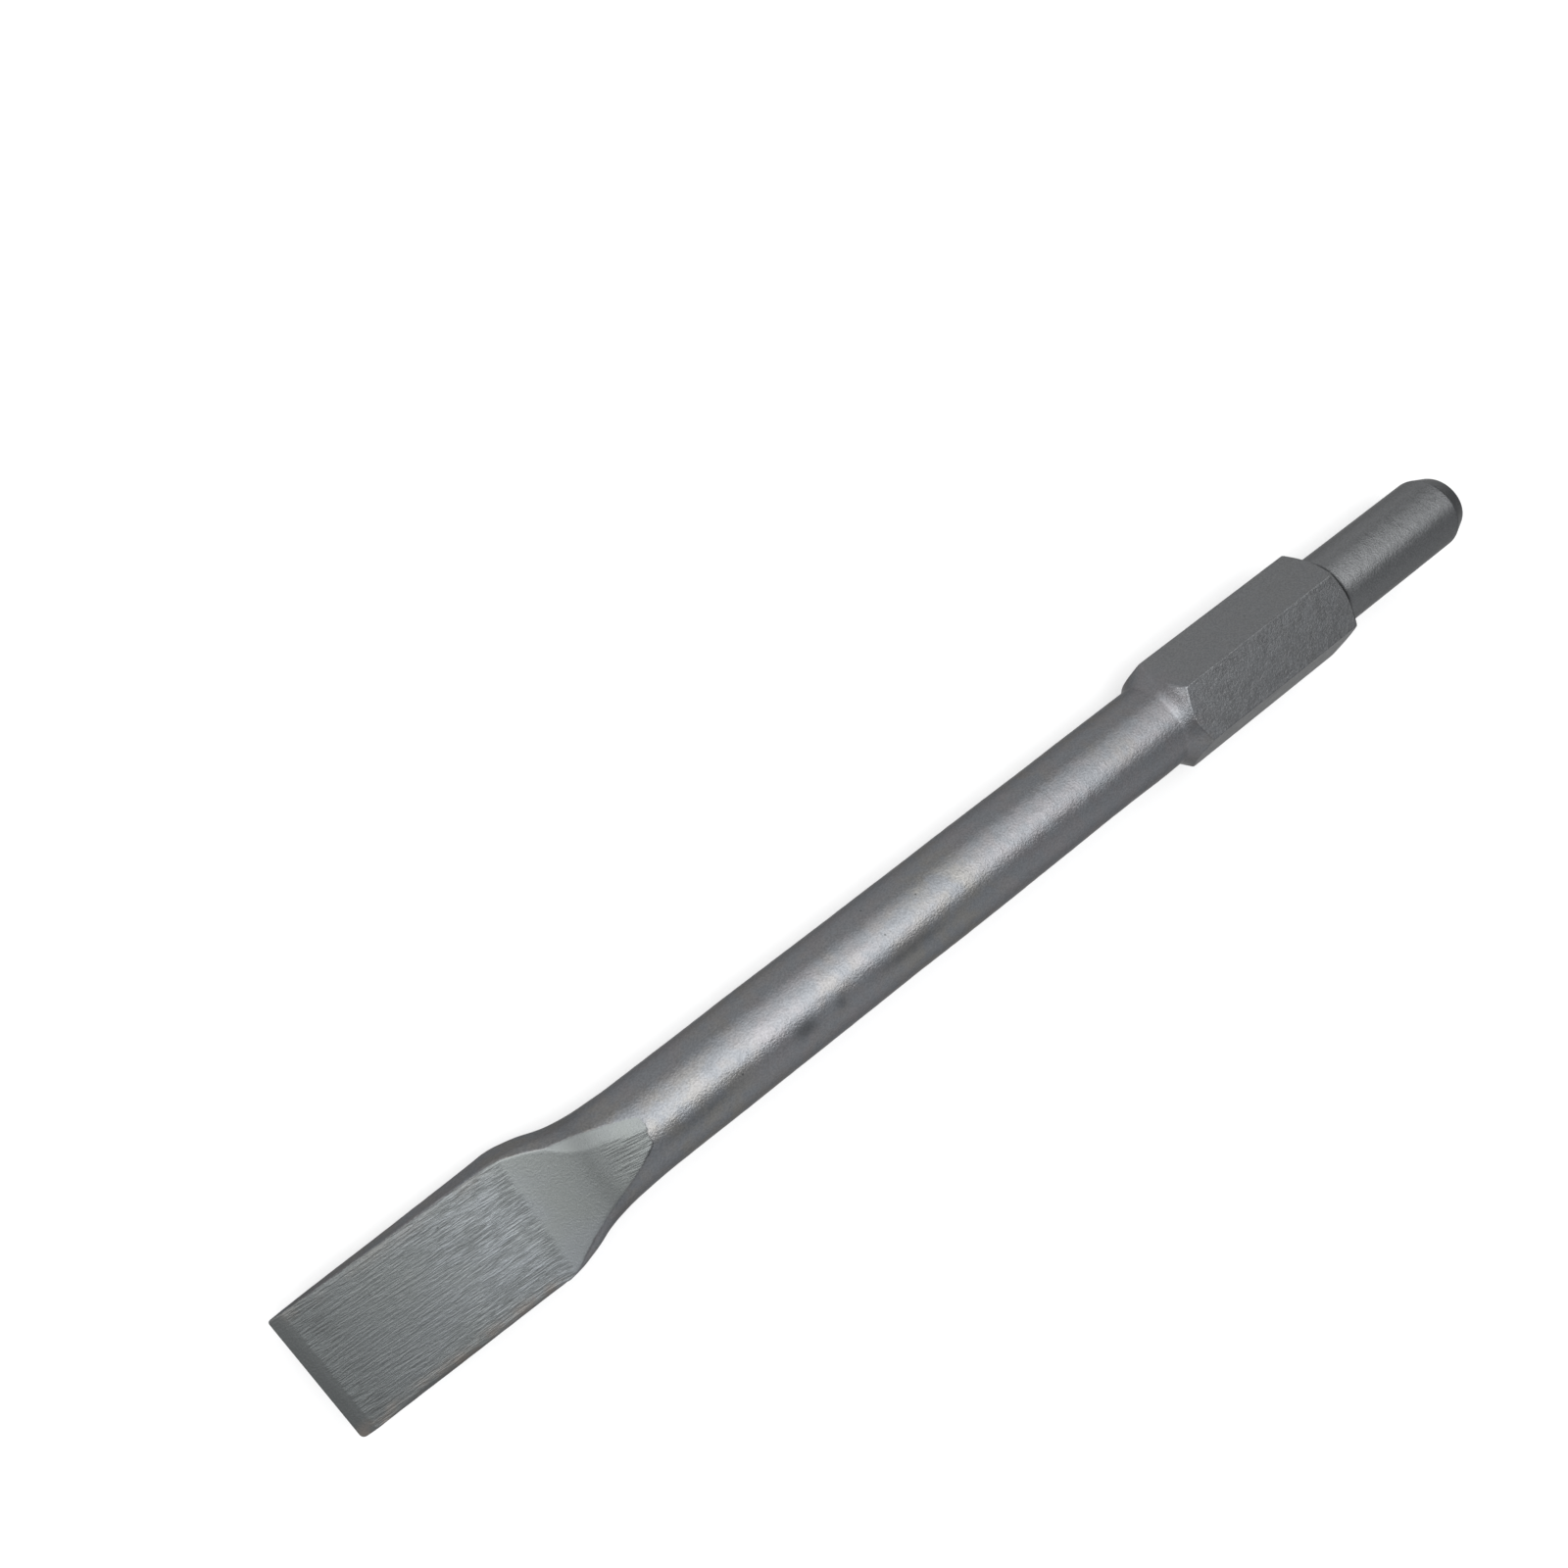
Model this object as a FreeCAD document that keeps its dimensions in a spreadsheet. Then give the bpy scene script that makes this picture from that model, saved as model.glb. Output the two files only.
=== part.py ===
import FreeCAD, Part
import os
import Sketcher

# A flat chisel with a hex shank, forged and turned from one bar and then ground.
# The origin is the middle of the struck end face. +X runs along the axis to the cutting
# edge, and +Z is square to the blade's flat face and to one flat of the hex collar.
# Lengths are in millimetres and angles in degrees.

NODE = "flat_chisel"

SIZES = {
    "overall_length": 400.0,
    "struck_face_diameter": 19.0,
    "struck_edge_radius": 0.6,
    "pin_diameter": 23.6,
    "pin_chamfer_length": 5.6,
    "pin_length": 58.1,
    "pin_root_radius": 1.0,
    "collar_across_flats": 30.0,
    "collar_corner_diameter": 34.4,
    "collar_ring_diameter": 25.8,
    "collar_chamfer_angle": 58.0,
    "collar_length": 64.2,
    "shoulder_length": 5.7,
    "shoulder_sweep_radius": 12.0,
    "body_root_diameter": 25.8,
    "body_neck_diameter": 25.2,
    "neck_length": 41.0,
    "neck_edge_radius": 1.0,
    "blade_length": 55.0,
    "blade_width": 35.6,
    "blade_root_width": 35.1,
    "blade_stock_thickness": 11.2,
    "blade_root_thickness": 8.8,
    "blade_tip_thickness": 1.8,
    "bevel_length": 3.3,
    "edge_land": 0.3,
    "edge_skew": 0.8,
    "edge_near_corner_radius": 0.6,
    "edge_far_corner_radius": 1.2,
    "ramp_angle": 13.0,
    "ramp_roll": 9.0,
    "flank_roll": 22.5,
    "flank_angle": 6.2,
    "flank_lead": 1.3,
    "flank_length": 13.9,
    "flank_run_out_radius": 29.0,
}

# The forged neck, as shares: how far along the neck a section lies, how much of the
# widening to the blade it has, and how much of the flattening and squaring.
NECK_SECTIONS = (
    (0.29, 0.03, 0.09),
    (0.44, 0.10, 0.23),
    (0.59, 0.30, 0.46),
    (0.73, 0.67, 0.72),
    (0.88, 0.94, 0.92),
    (1.00, 1.00, 1.00),
)

# The share of the neck that is still round, and half the angle of the short arcs in a
# round section that become the flat sides of the sections after it.
ROUND_SHARE = 0.12
SIDE_ARC = 4

# How far a cutting profile passes the metal that it cuts.
OVERRUN = 4

# The slope at which the curve that ends a flank facet has left the metal.
RUN_OUT_ANGLE = 30

PIN_RADIUS = "sizes.pin_diameter / 2"
RING_RADIUS = "sizes.collar_ring_diameter / 2"
CORNER_RADIUS = "sizes.collar_corner_diameter / 2"
BODY_RADIUS = "sizes.body_neck_diameter / 2"
HALF_WIDTH = "sizes.blade_width / 2"
ROOT_HALF_WIDTH = "sizes.blade_root_width / 2"
STOCK_HEIGHT = "sizes.blade_stock_thickness / 2"
ROOT_HEIGHT = "sizes.blade_root_thickness / 2"
TIP_HEIGHT = "sizes.blade_tip_thickness / 2"
LAND_HEIGHT = "sizes.edge_land / 2"

CHAMFER_LENGTH = "(%s - %s) / tan(sizes.collar_chamfer_angle)" % (CORNER_RADIUS, RING_RADIUS)
COLLAR_START = "sizes.pin_length + " + CHAMFER_LENGTH
COLLAR_END = "sizes.pin_length + sizes.collar_length"
BODY_START = COLLAR_END + " + sizes.shoulder_length"
BLADE_START = "sizes.overall_length - sizes.blade_length"
NECK_START = BLADE_START + " - sizes.neck_length"
RAMP_START = BLADE_START + " - (%s - %s) / tan(sizes.ramp_angle)" % (BODY_RADIUS, ROOT_HEIGHT)
ABOVE = "%s + %d" % (CORNER_RADIUS, OVERRUN)
BESIDE = "%s + %d" % (HALF_WIDTH, OVERRUN)

os.makedirs("parts", exist_ok=True)
doc = FreeCAD.newDocument("hex_shank_flat_chisel")


def make_sheet():
    """Put every driving size in the sheet, one row each, under its own alias."""
    sheet = doc.addObject("Spreadsheet::Sheet", "sizes")
    for row, (name, value) in enumerate(SIZES.items(), start=1):
        sheet.set("A%d" % row, name.replace("_", " "))
        sheet.set("B%d" % row, str(value))
        sheet.setAlias("B%d" % row, name)
    doc.recompute()
    return sheet


sheet = make_sheet()
body = doc.addObject("PartDesign::Body", NODE)
body.Label = NODE


def value_of(formula):
    """Work out a formula of the sheet's sizes."""
    return float(sheet.evalExpression(formula))


def origin_item(role):
    """Find one of the body's own origin planes or axes."""
    for item in body.Origin.OriginFeatures:
        if item.Role == role:
            return item
    raise RuntimeError("no origin item " + role)


def new_sketch(name, role, offset=None, roll=None):
    """Lay a sketch on an origin plane, moved along its normal or rolled about the axis."""
    sketch = body.newObject("Sketcher::SketchObject", name)
    sketch.AttachmentSupport = (origin_item(role), [""])
    sketch.MapMode = "FlatFace"
    if offset is not None:
        sketch.setExpression(".AttachmentOffset.Base.z", offset)
    if roll is not None:
        turn = FreeCAD.Rotation(FreeCAD.Vector(1, 0, 0), value_of(roll))
        sketch.AttachmentOffset = FreeCAD.Placement(FreeCAD.Vector(), turn)
        sketch.setExpression(".AttachmentOffset.Rotation.Angle", roll)
    return sketch


def bind(sketch, kind, places, formula):
    """Add one dimension to a sketch, driven by a formula."""
    index = sketch.addConstraint(Sketcher.Constraint(kind, *places, value_of(formula)))
    sketch.setExpression("Constraints[%d]" % index, formula)


def arc_between(start, end, radius, turn):
    """Make the shorter arc between two points, which turns left (1) or right (-1)."""
    chord = end - start
    right = FreeCAD.Vector(chord.y, -chord.x, 0).normalize()
    rise = radius - (radius**2 - (chord.Length / 2) ** 2) ** 0.5
    return Part.Arc(start, (start + end) / 2 + right * rise * turn, end)


def outline(sketch, points, arcs=()):
    """Draw one closed outline through points given as pairs of formulas.

    An entry (number, radius formula, turn) of arcs bends the line that leaves the point
    of that number: its turn is 1 where the outline turns left there, and -1 for right.
    """
    corners = [FreeCAD.Vector(value_of(x), value_of(y), 0) for x, y in points]
    bent = {number: (radius, turn) for number, radius, turn in arcs}
    ends = []
    for number, start in enumerate(corners):
        end = corners[(number + 1) % len(corners)]
        if number in bent:
            radius, turn = bent[number]
            edge = sketch.addGeometry(arc_between(start, end, value_of(radius), turn), False)
            ends.append((edge, 1, 2) if turn > 0 else (edge, 2, 1))
        else:
            edge = sketch.addGeometry(Part.LineSegment(start, end), False)
            ends.append((edge, 1, 2))
    for number, (edge, first, last) in enumerate(ends):
        after, after_first, after_last = ends[(number + 1) % len(ends)]
        sketch.addConstraint(Sketcher.Constraint("Coincident", edge, last, after, after_first))
    for (edge, first, last), (x, y) in zip(ends, points):
        place(sketch, edge, first, x, y)
    for number, (radius, turn) in bent.items():
        bind(sketch, "Radius", (ends[number][0],), radius)


def place(sketch, edge, point, x, y):
    """Tie a point to its two distances from the sketch's origin, given as formulas."""
    for kind, axis, formula in (("DistanceX", -2, x), ("DistanceY", -1, y)):
        if formula == "0":
            sketch.addConstraint(Sketcher.Constraint("PointOnObject", edge, point, axis))
        else:
            bind(sketch, kind, (-1, 1, edge, point), formula)


def solid_volume():
    """Build what there is and give its volume."""
    doc.recompute()
    return body.Shape.Volume


def add_feature(kind, name, **properties):
    """Add one feature to the body and set its properties."""
    feature = body.newObject("PartDesign::" + kind, name)
    for key, value in properties.items():
        setattr(feature, key, value)
    return feature


def must_change(volume_before, grows, name):
    """Stop where a feature has left the solid as it was or changed it the wrong way."""
    change = solid_volume() - volume_before
    if (change > 0) != grows or abs(change) < 0.01:
        raise RuntimeError("%s changed the volume by %.3f" % (name, change))


def turned_bar():
    """Turn the pin, the blank of the collar, its shoulder and the long round body."""
    profile = new_sketch("turned_profile", "XZ_Plane")
    points = [
        ("0", "0"),
        (NECK_START, "0"),
        (NECK_START, BODY_RADIUS),
        (BODY_START, "sizes.body_root_diameter / 2"),
        (COLLAR_END, CORNER_RADIUS),
        (COLLAR_START, CORNER_RADIUS),
        ("sizes.pin_length", RING_RADIUS),
        ("sizes.pin_length", PIN_RADIUS + " + sizes.pin_root_radius"),
        ("sizes.pin_length - sizes.pin_root_radius", PIN_RADIUS),
        ("sizes.pin_chamfer_length", PIN_RADIUS),
        ("0", "sizes.struck_face_diameter / 2"),
    ]
    sweeps = [(3, "sizes.shoulder_sweep_radius", -1), (7, "sizes.pin_root_radius", -1)]
    outline(profile, points, sweeps)
    axis = (origin_item("X_Axis"), [""])
    add_feature("Revolution", "turned_bar", Profile=profile, ReferenceAxis=axis, Angle=360)
    must_change(0, True, "turned_bar")


def hex_collar():
    """Mill the six flats. The chamfer and the shoulder keep their turned form below them."""
    before = solid_volume()
    profile = new_sketch("hex_outline", "YZ_Plane", "sizes.pin_length + sizes.collar_length / 2")
    flat = "sizes.collar_across_flats / 2"
    corner = "sizes.collar_across_flats / sqrt(3)"
    half = corner + " / 2"
    points = [
        (corner, "0"),
        (half, flat),
        ("-" + half, flat),
        ("-" + corner, "0"),
        ("-" + half, "-" + flat),
        (half, "-" + flat),
    ]
    outline(profile, points)
    ring = profile.addGeometry(Part.Circle(FreeCAD.Vector(), FreeCAD.Vector(0, 0, 1), 1), False)
    profile.addConstraint(Sketcher.Constraint("Coincident", ring, 3, -1, 1))
    bind(profile, "Radius", (ring,), ABOVE)
    flats = add_feature("Pocket", "hex_flats", Profile=profile, SideType="Symmetric")
    flats.setExpression("Length", "sizes.collar_length + 2 * sizes.shoulder_length + %d" % OVERRUN)
    must_change(before, False, "hex_flats")


def round_section(name, station):
    """Draw a round section as eight arcs, which line up with the sides of the next ones."""
    section = new_sketch(name, "YZ_Plane", station)
    far = "%s * cos(%d)" % (BODY_RADIUS, SIDE_ARC)
    near = "%s * sin(%d)" % (BODY_RADIUS, SIDE_ARC)
    points = eight_points(far, near, far, near)
    outline(section, points, [(number, BODY_RADIUS, 1) for number in range(8)])
    return section


def eight_points(side, side_reach, top, top_reach):
    """List the ends of a section's four sides, counterclockwise from the right side."""
    return [
        (side, "-(" + side_reach + ")"),
        (side, side_reach),
        (top_reach, top),
        ("-(" + top_reach + ")", top),
        ("-(" + side + ")", side_reach),
        ("-(" + side + ")", "-(" + side_reach + ")"),
        ("-(" + top_reach + ")", "-(" + top + ")"),
        (top_reach, "-(" + top + ")"),
    ]


def between(share, start, end):
    """Write the formula of a value part of the way from one size to another."""
    return "%s + %s * (%s - %s)" % (start, share, end, start)


def flattened_section(name, station, half_width, widened, flattened):
    """Draw a rectangle whose corner arcs shrink as the round bar is flattened to it."""
    section = new_sketch(name, "YZ_Plane", station)
    side = between(widened, BODY_RADIUS, half_width)
    top = between(flattened, BODY_RADIUS, STOCK_HEIGHT)
    corner = between(flattened, BODY_RADIUS, "sizes.neck_edge_radius")
    points = eight_points(side, "%s - (%s)" % (top, corner), top, "%s - (%s)" % (side, corner))
    outline(section, points, [(number, corner, 1) for number in (1, 3, 5, 7)])
    return section


def forged_neck():
    """Flatten and widen the round bar to the root of the blade."""
    before = solid_volume()
    sections = [round_section("neck_round_end", NECK_START)]
    station = "%s + %s * sizes.neck_length" % (NECK_START, ROUND_SHARE)
    sections.append(round_section("neck_round", station))
    for number, (share, widened, flattened) in enumerate(NECK_SECTIONS, start=1):
        station = "%s + %s * sizes.neck_length" % (NECK_START, share)
        name = "neck_%d" % number
        sections.append(flattened_section(name, station, ROOT_HALF_WIDTH, widened, flattened))
    add_feature("AdditiveLoft", "forged_neck", Profile=sections[0], Sections=sections[1:])
    must_change(before, True, "forged_neck")
    return sections[-1]


def blade_stock(root):
    """Draw the stock out from the root of the blade to the cutting edge, a little wider."""
    before = solid_volume()
    end = flattened_section("blade_end", "sizes.overall_length", HALF_WIDTH, 1, 1)
    add_feature("AdditiveLoft", "blade_stock", Profile=root, Sections=[end], Ruled=True)
    must_change(before, True, "blade_stock")


def ground_ramp():
    """Grind the ramp that leads down to the blade. It is rolled at the neck and level there."""
    before = solid_volume()
    start = new_sketch("ramp_start", "YZ_Plane", "%s - %d" % (RAMP_START, OVERRUN))
    middle = "%s + %d * tan(sizes.ramp_angle)" % (BODY_RADIUS, OVERRUN)
    lean = "tan(sizes.ramp_roll) * (%s)" % BESIDE
    points = [
        ("-(%s)" % BESIDE, "%s - %s" % (middle, lean)),
        (BESIDE, "%s + %s" % (middle, lean)),
        (BESIDE, ABOVE),
        ("-(%s)" % BESIDE, ABOVE),
    ]
    outline(start, points)
    end = new_sketch("ramp_end", "YZ_Plane", BLADE_START)
    level = [("-(%s)" % BESIDE, ROOT_HEIGHT), (BESIDE, ROOT_HEIGHT)]
    outline(end, level + points[2:])
    ramp = add_feature("SubtractiveLoft", "ground_ramp", Profile=start, Sections=[end], Ruled=True)
    must_change(before, False, "ground_ramp")
    return ramp


def ground_blade():
    """Grind the blade's slow taper and the steeper bevel that ends in a narrow land."""
    before = solid_volume()
    profile = new_sketch("blade_profile", "XZ_Plane")
    beyond = "sizes.overall_length + %d" % OVERRUN
    points = [
        (BLADE_START, ROOT_HEIGHT),
        ("sizes.overall_length - sizes.bevel_length", TIP_HEIGHT),
        ("sizes.overall_length", LAND_HEIGHT),
        (beyond, LAND_HEIGHT),
        (beyond, ABOVE),
        ("%s - %d" % (BLADE_START, OVERRUN), ABOVE),
    ]
    outline(profile, points)
    blade = add_feature("Pocket", "ground_blade", Profile=profile, SideType="Symmetric")
    blade.setExpression("Length", "2 * (%s)" % BESIDE)
    must_change(before, False, "ground_blade")
    return blade


def flank_facet():
    """Grind the facet beside the ramp. It slopes down along a flat and ends in the wheel's arc."""
    before = solid_volume()
    profile = new_sketch("flank_profile", "XZ_Plane", roll="sizes.flank_roll")
    start = "%s - sizes.flank_lead" % RAMP_START
    slope = "tan(sizes.flank_angle)"
    deepest = "%s - sizes.flank_length * %s" % (BODY_RADIUS, slope)
    run = "sizes.flank_run_out_radius * (sin(sizes.flank_angle) + sin(%d))" % RUN_OUT_ANGLE
    rise = "sizes.flank_run_out_radius * (cos(sizes.flank_angle) - cos(%d))" % RUN_OUT_ANGLE
    points = [
        ("%s - %d" % (start, OVERRUN), "%s + %d * %s" % (BODY_RADIUS, OVERRUN, slope)),
        ("%s + sizes.flank_length" % start, deepest),
        ("%s + sizes.flank_length + %s" % (start, run), "%s + %s" % (deepest, rise)),
        ("%s + sizes.flank_length + %s" % (start, run), ABOVE),
        ("%s - %d" % (start, OVERRUN), ABOVE),
    ]
    outline(profile, points, [(1, "sizes.flank_run_out_radius", 1)])
    facet = add_feature("Pocket", "flank_facet", Profile=profile, SideType="Symmetric")
    facet.setExpression("Length", "2 * (%s)" % BESIDE)
    must_change(before, False, "flank_facet")
    return facet


def other_face(features):
    """Repeat the grinding on the other face, half a turn round the axis."""
    before = solid_volume()
    axis = (origin_item("X_Axis"), [""])
    pattern = add_feature("PolarPattern", "other_face", Originals=features, Axis=axis)
    pattern.Angle = 360
    pattern.Occurrences = 2
    body.Tip = pattern
    must_change(before, False, "other_face")


def cutting_edge():
    """Trim the cutting edge, which is worn a little out of square and round at its ends."""
    before = solid_volume()
    profile = new_sketch("edge_outline", "XY_Plane")
    near_radius = "sizes.edge_near_corner_radius"
    far_radius = "sizes.edge_far_corner_radius"
    edge = "sizes.overall_length"
    worn_edge = "sizes.overall_length - sizes.edge_skew"
    points = [
        ("%s + %d" % (edge, OVERRUN), "-(%s)" % BESIDE),
        ("%s + %d" % (edge, OVERRUN), BESIDE),
        ("%s - %s" % (worn_edge, far_radius), BESIDE),
        ("%s - %s" % (worn_edge, far_radius), HALF_WIDTH),
        (worn_edge, "%s - %s" % (HALF_WIDTH, far_radius)),
        (edge, "%s - (%s)" % (near_radius, HALF_WIDTH)),
        ("%s - %s" % (edge, near_radius), "-(%s)" % HALF_WIDTH),
        ("%s - %s" % (edge, near_radius), "-(%s)" % BESIDE),
    ]
    outline(profile, points, [(3, far_radius, -1), (5, near_radius, -1)])
    trim = add_feature("Pocket", "cutting_edge", Profile=profile, SideType="Symmetric")
    trim.setExpression("Length", "2 * (%s)" % ABOVE)
    must_change(before, False, "cutting_edge")


def struck_edge():
    """Round the edge of the struck face."""
    before = solid_volume()
    names = []
    for number, edge in enumerate(body.Tip.Shape.Edges, start=1):
        if edge.BoundBox.XMax < 1e-6:
            names.append("Edge%d" % number)
    rounding = add_feature("Fillet", "struck_edge", Base=(body.Tip, names))
    rounding.setExpression("Radius", "sizes.struck_edge_radius")
    must_change(before, False, "struck_edge")


def check():
    """Stop where any object has failed or the solid isn't one valid piece."""
    doc.recompute()
    for item in doc.Objects:
        if "Invalid" in item.State or "Error" in item.State:
            raise RuntimeError("%s failed: %s" % (item.Name, item.State))
    shape = body.Shape
    if shape.isNull() or not shape.isValid() or len(shape.Solids) != 1:
        raise RuntimeError("%s isn't one valid solid" % body.Label)


turned_bar()
hex_collar()
blade_stock(forged_neck())
other_face([ground_ramp(), ground_blade(), flank_facet()])
cutting_edge()
struck_edge()
check()
body.Shape.exportStep("parts/%s.step" % body.Label)
print("%s: volume %.1f mm3" % (body.Label, body.Shape.Volume))
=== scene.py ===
import math
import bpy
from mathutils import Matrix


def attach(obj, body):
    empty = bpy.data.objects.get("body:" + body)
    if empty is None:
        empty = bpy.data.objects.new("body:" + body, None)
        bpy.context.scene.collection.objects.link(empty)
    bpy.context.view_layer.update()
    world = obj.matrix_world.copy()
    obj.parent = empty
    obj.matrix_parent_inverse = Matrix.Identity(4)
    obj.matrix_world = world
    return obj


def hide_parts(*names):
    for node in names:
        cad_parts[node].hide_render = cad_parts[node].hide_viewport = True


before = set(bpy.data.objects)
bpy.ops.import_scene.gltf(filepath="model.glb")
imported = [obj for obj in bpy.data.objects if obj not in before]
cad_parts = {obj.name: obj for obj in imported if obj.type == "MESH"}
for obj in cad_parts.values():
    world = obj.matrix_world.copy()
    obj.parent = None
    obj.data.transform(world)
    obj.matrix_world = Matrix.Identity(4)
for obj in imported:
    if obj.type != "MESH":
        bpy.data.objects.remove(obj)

from types import SimpleNamespace

import bpy
import numpy as np
from bpy.props import FloatProperty, FloatVectorProperty, PointerProperty
from mathutils import Euler, Vector

bl_info = {
    "name": "Hex shank flat chisel",
    "version": (1, 0, 0),
    "blender": (4, 5, 0),
    "location": "3D View > Sidebar > Chisel",
    "description": "Makes a forged flat chisel with its blasted steel finish, and a studio stage",
    "category": "Add Mesh",
}

NODE = "flat_chisel"
BODY = "root"
MM = 0.001


def linear(hex_colour):
    """An sRGB hex colour as the linear red, green, blue and alpha that Blender's sockets take."""
    value = np.array([int(hex_colour[i:i + 2], 16) for i in (1, 3, 5)]) / 255.0
    value = np.where(value <= 0.04045, value / 12.92, ((value + 0.055) / 1.055) ** 2.4)
    return (*value.tolist(), 1.0)


def size(name, description, millimetres):
    """A length that a user may change, kept in metres."""
    return FloatProperty(name=name, description=description, default=millimetres * MM,
                         unit="LENGTH", precision=5)


def slant(name, description, degrees):
    """An angle that a user may change, kept in radians."""
    return FloatProperty(name=name, description=description, default=math.radians(degrees),
                         unit="ROTATION")


def paint(name, description, hex_colour):
    """A colour that a user may change, given as an sRGB hex value and kept linear."""
    return FloatVectorProperty(name=name, description=description, subtype="COLOR", size=4,
                               min=0.0, max=1.0, default=linear(hex_colour))


class ChiselSizes(bpy.types.PropertyGroup):
    """Sizes of the chisel: first those of its CAD source, and from edge_softness on finer ones that only
    the skin has."""

    overall_length: size("Overall length", "Struck face to cutting edge", 400)
    struck_face_diameter: size("Struck face", "Diameter where the pin's chamfer starts", 19.0)
    struck_edge_radius: size("Struck edge", "Rounding round the struck face", 0.6)
    pin_diameter: size("Pin diameter", "Round striking pin", 23.6)
    pin_chamfer_length: size("Pin chamfer", "Length of the long chamfer on the pin", 5.6)
    pin_length: size("Pin length", "Struck face to the collar's ring", 58.1)
    pin_root_radius: size("Pin root", "Hollow at the foot of the pin", 1.0)
    collar_across_flats: size("Across flats", "Hex collar, flat to flat", 30)
    collar_corner_diameter: size("Across corners", "Bar that the hex is cut from", 34.4)
    collar_ring_diameter: size("Ring", "Where the collar's end chamfer starts", 25.8)
    collar_chamfer_angle: slant("Collar chamfer", "End chamfer, from the axis", 58)
    collar_length: size("Collar length", "Ring to the start of the shoulder", 64.2)
    shoulder_length: size("Shoulder length", "Collar's corners down to the body", 5.7)
    shoulder_sweep_radius: size("Shoulder sweep", "Hollow curve of the shoulder", 12)
    body_root_diameter: size("Body at the shoulder", "Round body beside the collar", 25.8)
    body_neck_diameter: size("Body at the neck", "Round body where forging starts", 25.2)
    neck_length: size("Neck length", "Forged change from round to flat", 41)
    neck_edge_radius: size("Blade edge radius", "Rounded long edges of the blade", 1.0)
    blade_length: size("Blade length", "Flat blade from the neck to the edge", 55)
    blade_width: size("Blade width", "At the cutting edge", 35.6)
    blade_root_width: size("Blade root width", "At the neck", 35.1)
    blade_stock_thickness: size("Blade stock", "Forged thickness before grinding", 11.2)
    blade_root_thickness: size("Blade root", "Ground thickness at the neck", 8.8)
    blade_tip_thickness: size("Blade tip", "Ground thickness at the bevel", 1.8)
    bevel_length: size("Bevel", "Length of the cutting bevel", 3.3)
    edge_land: size("Edge land", "Thickness left at the cutting edge", 0.3)
    edge_skew: size("Edge skew", "How far the edge runs out of square", 0.8)
    edge_near_corner_radius: size("Near corner", "Rounded corner of the edge, -Y side", 0.6)
    edge_far_corner_radius: size("Far corner", "Rounded corner of the edge, +Y side", 1.2)
    ramp_angle: slant("Ramp angle", "Ground ramp from the body down to the blade", 13)
    ramp_roll: slant("Ramp roll", "Ramp leans over to one side at its top", 9)
    flank_roll: slant("Flank roll", "Ground facet beside the ramp, turned round the axis", 22.5)
    flank_angle: slant("Flank angle", "Fall of that facet along the axis", 6.2)
    flank_lead: size("Flank lead", "Facet starts this far past the ramp's top", 1.3)
    flank_length: size("Flank length", "Straight part of the facet", 13.9)
    flank_run_out_radius: size("Flank run-out", "Curve that the grinding wheel leaves", 29)
    edge_softness: size("Edge softness", "Rounding of the edges that grinding leaves", 0.12)
    collar_edge_radius: size("Collar edges", "Rounding of the long edges of the hex", 0.06)
    blade_crown: size("Blade crown", "How far the blade's face falls at its long edges", 0.3)
    blade_bow: size("Blade bow", "How far the blade's face swells between ramp and bevel", 0.3)
    neck_hollow: size("Neck hollow", "How softly the ramp runs out into the blade", 0.9)
    pin_foot_length: size("Pin foot", "Length of the worn hollow at the foot of the pin", 2.6)
    forging_wander: size("Forging wander", "How far the forged skin wanders from true", 0.07)
    hammer_ripple: size("Hammer ripple", "Height of the short ripples that the hammer leaves", 0.013)


class ChiselFinish(bpy.types.PropertyGroup):
    """Colours of the chisel's steel, some of them also used for painted shade."""

    blasted: paint("Blasted steel", "Shot-blasted and phosphated skin", "#6f6e70")
    blasted_cool: paint("Cool patches", "Bluish phosphate patches", "#6c6e71")
    blasted_warm: paint("Warm patches", "Patches with a trace of oil and rust", "#706f6d")
    turned: paint("Turned steel", "Lathe-turned striking pin", "#6c6d6e")
    # Also the colour of the painted shade beside the blade, at the foot of the pin and along the ramp's
    # upper edge.
    scale: paint("Scale", "Pits and patches that hold dark scale", "#3c3d3e")
    ground: paint("Ground steel", "Belt-ground blade faces", "#8c9093")
    ground_green: paint("Oiled steel", "Ground steel with a trace of oil", "#8b8f8d")
    grinding_lines: paint("Grinding lines", "Deeper lines of the belt", "#5f6262")
    stained: paint("Stained steel", "Brown film of oil along the blade's long edges", "#6a645f")
    # Darker ground steel: the colour of the painted shade along the blade, and of the belt's dark streaks
    # at the ramp's top.
    streak_and_shade_steel: paint("Heated steel", "Ground steel that grinding and hardening heat have dulled", "#4f5151")


class StageSettings(bpy.types.PropertyGroup):
    """Floor and room of the studio, and the camera's lens."""

    floor_colour: paint("Floor", "Pale matt studio floor", "#dadada")
    world_low: paint("Room at eye level", "Light studio walls", "#f8f9fa")
    world_high: paint("Room overhead", "Dim studio ceiling", "#d2d4d7")
    lens: FloatProperty(name="Lens", description="Focal length on a 36 mm sensor", default=33.0)


def in_millimetres(group):
    """The lengths of a property group in millimetres and its angles in radians."""
    values = {}
    for item in group.bl_rna.properties:
        if item.type == "FLOAT":
            unit = MM if item.unit == "LENGTH" else 1
            values[item.identifier] = getattr(group, item.identifier) / unit
    return SimpleNamespace(**values)


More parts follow.
